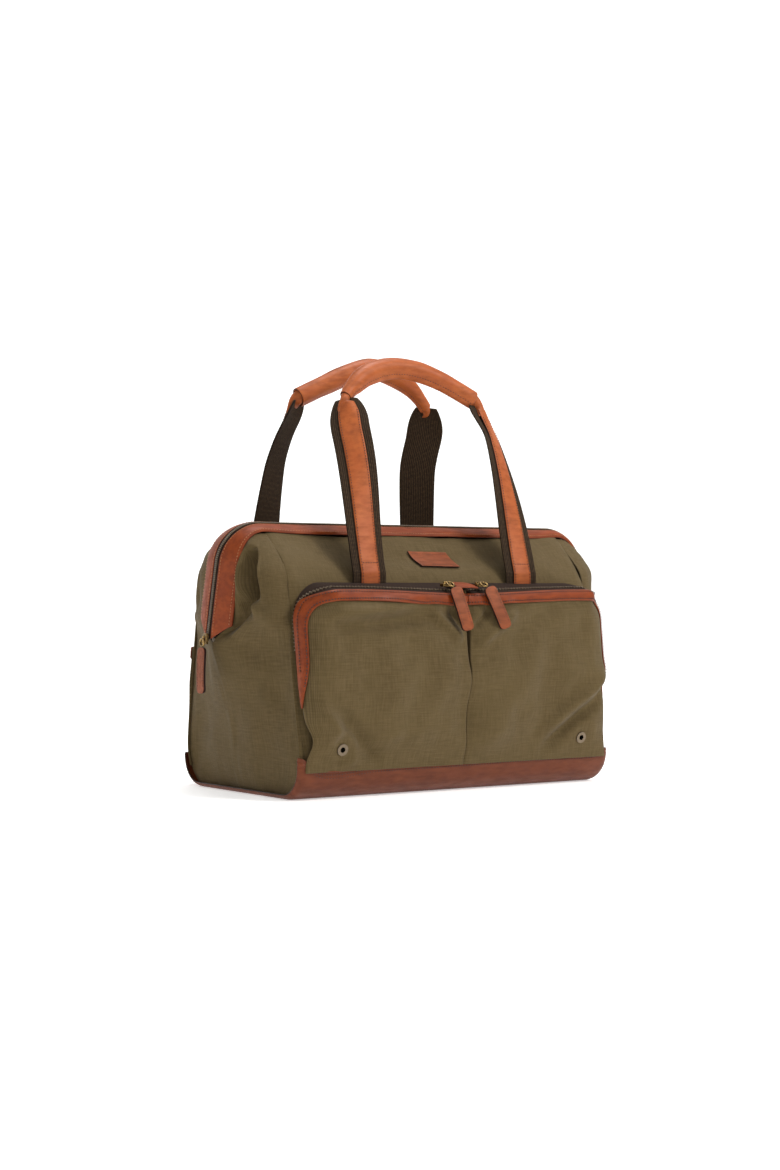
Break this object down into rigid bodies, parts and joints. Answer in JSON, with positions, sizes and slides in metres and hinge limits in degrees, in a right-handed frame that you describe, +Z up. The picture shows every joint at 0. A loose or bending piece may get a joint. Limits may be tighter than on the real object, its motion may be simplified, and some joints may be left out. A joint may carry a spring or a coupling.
{
  "type": "doctor bag",
  "caption": "Canvas doctor bag with a hinged zip mouth, leather base and trim, double rolled handles, zipped front pockets and a back slip pocket.",
  "frame": {"origin": "middle of the flat base, on the floor", "axes": "+X along the bag to its right end, -Y to its front, +Z up"},
  "size_m": [0.5053, 0.297, 0.497],
  "materials": {
    "olive_canvas": "woven cotton-nylon canvas, matte",
    "base_leather": "waxed full-grain leather",
    "trim_leather": "tan vegetable-tanned leather, edge stitched",
    "strap_leather": "tan leather strip, edge stitched",
    "grip_leather": "rolled tan leather, stitched underneath",
    "pull_leather": "two-layer leather pull, stitched, dark edges",
    "webbing": "dark brown woven webbing",
    "zip_tape": "woven zip tape",
    "zip_metal": "antiqued gunmetal brass",
    "frame_steel": "drawn steel wire",
    "lining_cloth": "plain cotton lining",
    "base_stiffener": "fibre board",
    "grip_filler": "twisted filler cord"
  },
  "bodies": {
    "bag_body": {"back_handle_anchors": "webbing", "back_pocket_panel": "olive_canvas", "back_pocket_trim": "trim_leather", "back_wall": "olive_canvas", "base_board": "base_stiffener", "base_leather": "base_leather", "front_handle_anchors": "webbing", "front_wall": "olive_canvas", "left_gusset": "olive_canvas", "left_hinge_pin": "frame_steel", "left_pocket_binding": "trim_leather", "left_pocket_panel": "olive_canvas", "left_pocket_teeth": "zip_metal", "left_pocket_zip_tape": "zip_tape", "left_upper_gusset": "olive_canvas", "lining": "lining_cloth", "pocket_pleat": "olive_canvas", "pocket_zip_bridge": "trim_leather", "right_gusset": "olive_canvas", "right_hinge_pin": "frame_steel", "right_pocket_binding": "trim_leather", "right_pocket_panel": "olive_canvas", "right_pocket_teeth": "zip_metal", "right_pocket_zip_tape": "zip_tape", "right_upper_gusset": "olive_canvas", "vent_eyelets": "zip_metal"},
    "front_frame": {"front_facing": "trim_leather", "front_mouth_tape": "zip_tape", "front_mouth_teeth": "zip_metal", "front_frame_wire": "frame_steel", "front_upper_panel": "olive_canvas", "plain_label": "trim_leather"},
    "back_frame": {"back_facing": "trim_leather", "back_mouth_tape": "zip_tape", "back_mouth_teeth": "zip_metal", "back_frame_wire": "frame_steel", "back_upper_panel": "olive_canvas"},
    "front_handle": {"front_left_strap": "webbing", "front_right_strap": "webbing", "front_left_strip": "strap_leather", "front_right_strip": "strap_leather", "front_grip": "grip_leather", "front_grip_core": "grip_filler"},
    "back_handle": {"back_left_strap": "webbing", "back_right_strap": "webbing", "back_left_strip": "strap_leather", "back_right_strip": "strap_leather", "back_grip": "grip_leather", "back_grip_core": "grip_filler"},
    "mouth_slider": {"mouth_slider": "zip_metal"},
    "mouth_pull": {"mouth_pull_ring": "zip_metal", "mouth_pull": "pull_leather"},
    "left_slider": {"left_pocket_slider": "zip_metal"},
    "left_pull": {"left_pocket_pull_ring": "zip_metal", "left_pocket_pull": "pull_leather"},
    "right_slider": {"right_pocket_slider": "zip_metal"},
    "right_pull": {"right_pocket_pull_ring": "zip_metal", "right_pocket_pull": "pull_leather"}
  },
  "joints": [
    {"name": "front_mouth_hinge", "type": "hinge", "parent": "bag_body", "child": "front_frame", "pos_m": [0, 0.004, 0.17], "axis": [1, 0, 0], "range_deg": [0, 24], "deforming": ["front_upper_panel", "plain_label", "left_upper_gusset", "right_upper_gusset"]},
    {"name": "back_mouth_hinge", "type": "hinge", "parent": "bag_body", "child": "back_frame", "pos_m": [0, 0.004, 0.17], "axis": [-1, 0, 0], "range_deg": [0, 45], "deforming": ["back_upper_panel"]},
    {"name": "front_handle_fold", "type": "hinge", "parent": "bag_body", "child": "front_handle", "pos_m": [0, -0.098, 0.2435], "axis": [1, 0, 0], "range_deg": [-4, 110]},
    {"name": "back_handle_fold", "type": "hinge", "parent": "bag_body", "child": "back_handle", "pos_m": [0, 0.106, 0.2435], "axis": [-1, 0, 0], "range_deg": [-4, 130]},
    {"name": "mouth_zip_slide", "type": "slide", "parent": "front_frame", "child": "mouth_slider", "axis": [0, -0.225, 0.9744], "range_m": [0, 0.075]},
    {"name": "mouth_pull_swing", "type": "hinge", "parent": "mouth_slider", "child": "mouth_pull", "pos_m": [-0.2552, 0.004, 0.17], "axis": [0, 1, 0], "range_deg": [0, 150]},
    {"name": "left_pocket_zip_slide", "type": "slide", "parent": "bag_body", "child": "left_slider", "axis": [-1, 0, 0], "range_m": [0, 0.128]},
    {"name": "left_pocket_pull_swing", "type": "hinge", "parent": "left_slider", "child": "left_pull", "pos_m": [-0.023, -0.1327, 0.2315], "axis": [-1, 0, 0], "range_deg": [0, 140]},
    {"name": "right_pocket_zip_slide", "type": "slide", "parent": "bag_body", "child": "right_slider", "axis": [1, 0, 0], "range_m": [0, 0.128]},
    {"name": "right_pocket_pull_swing", "type": "hinge", "parent": "right_slider", "child": "right_pull", "pos_m": [0.023, -0.1327, 0.2315], "axis": [-1, 0, 0], "range_deg": [0, 140]}
  ]
}
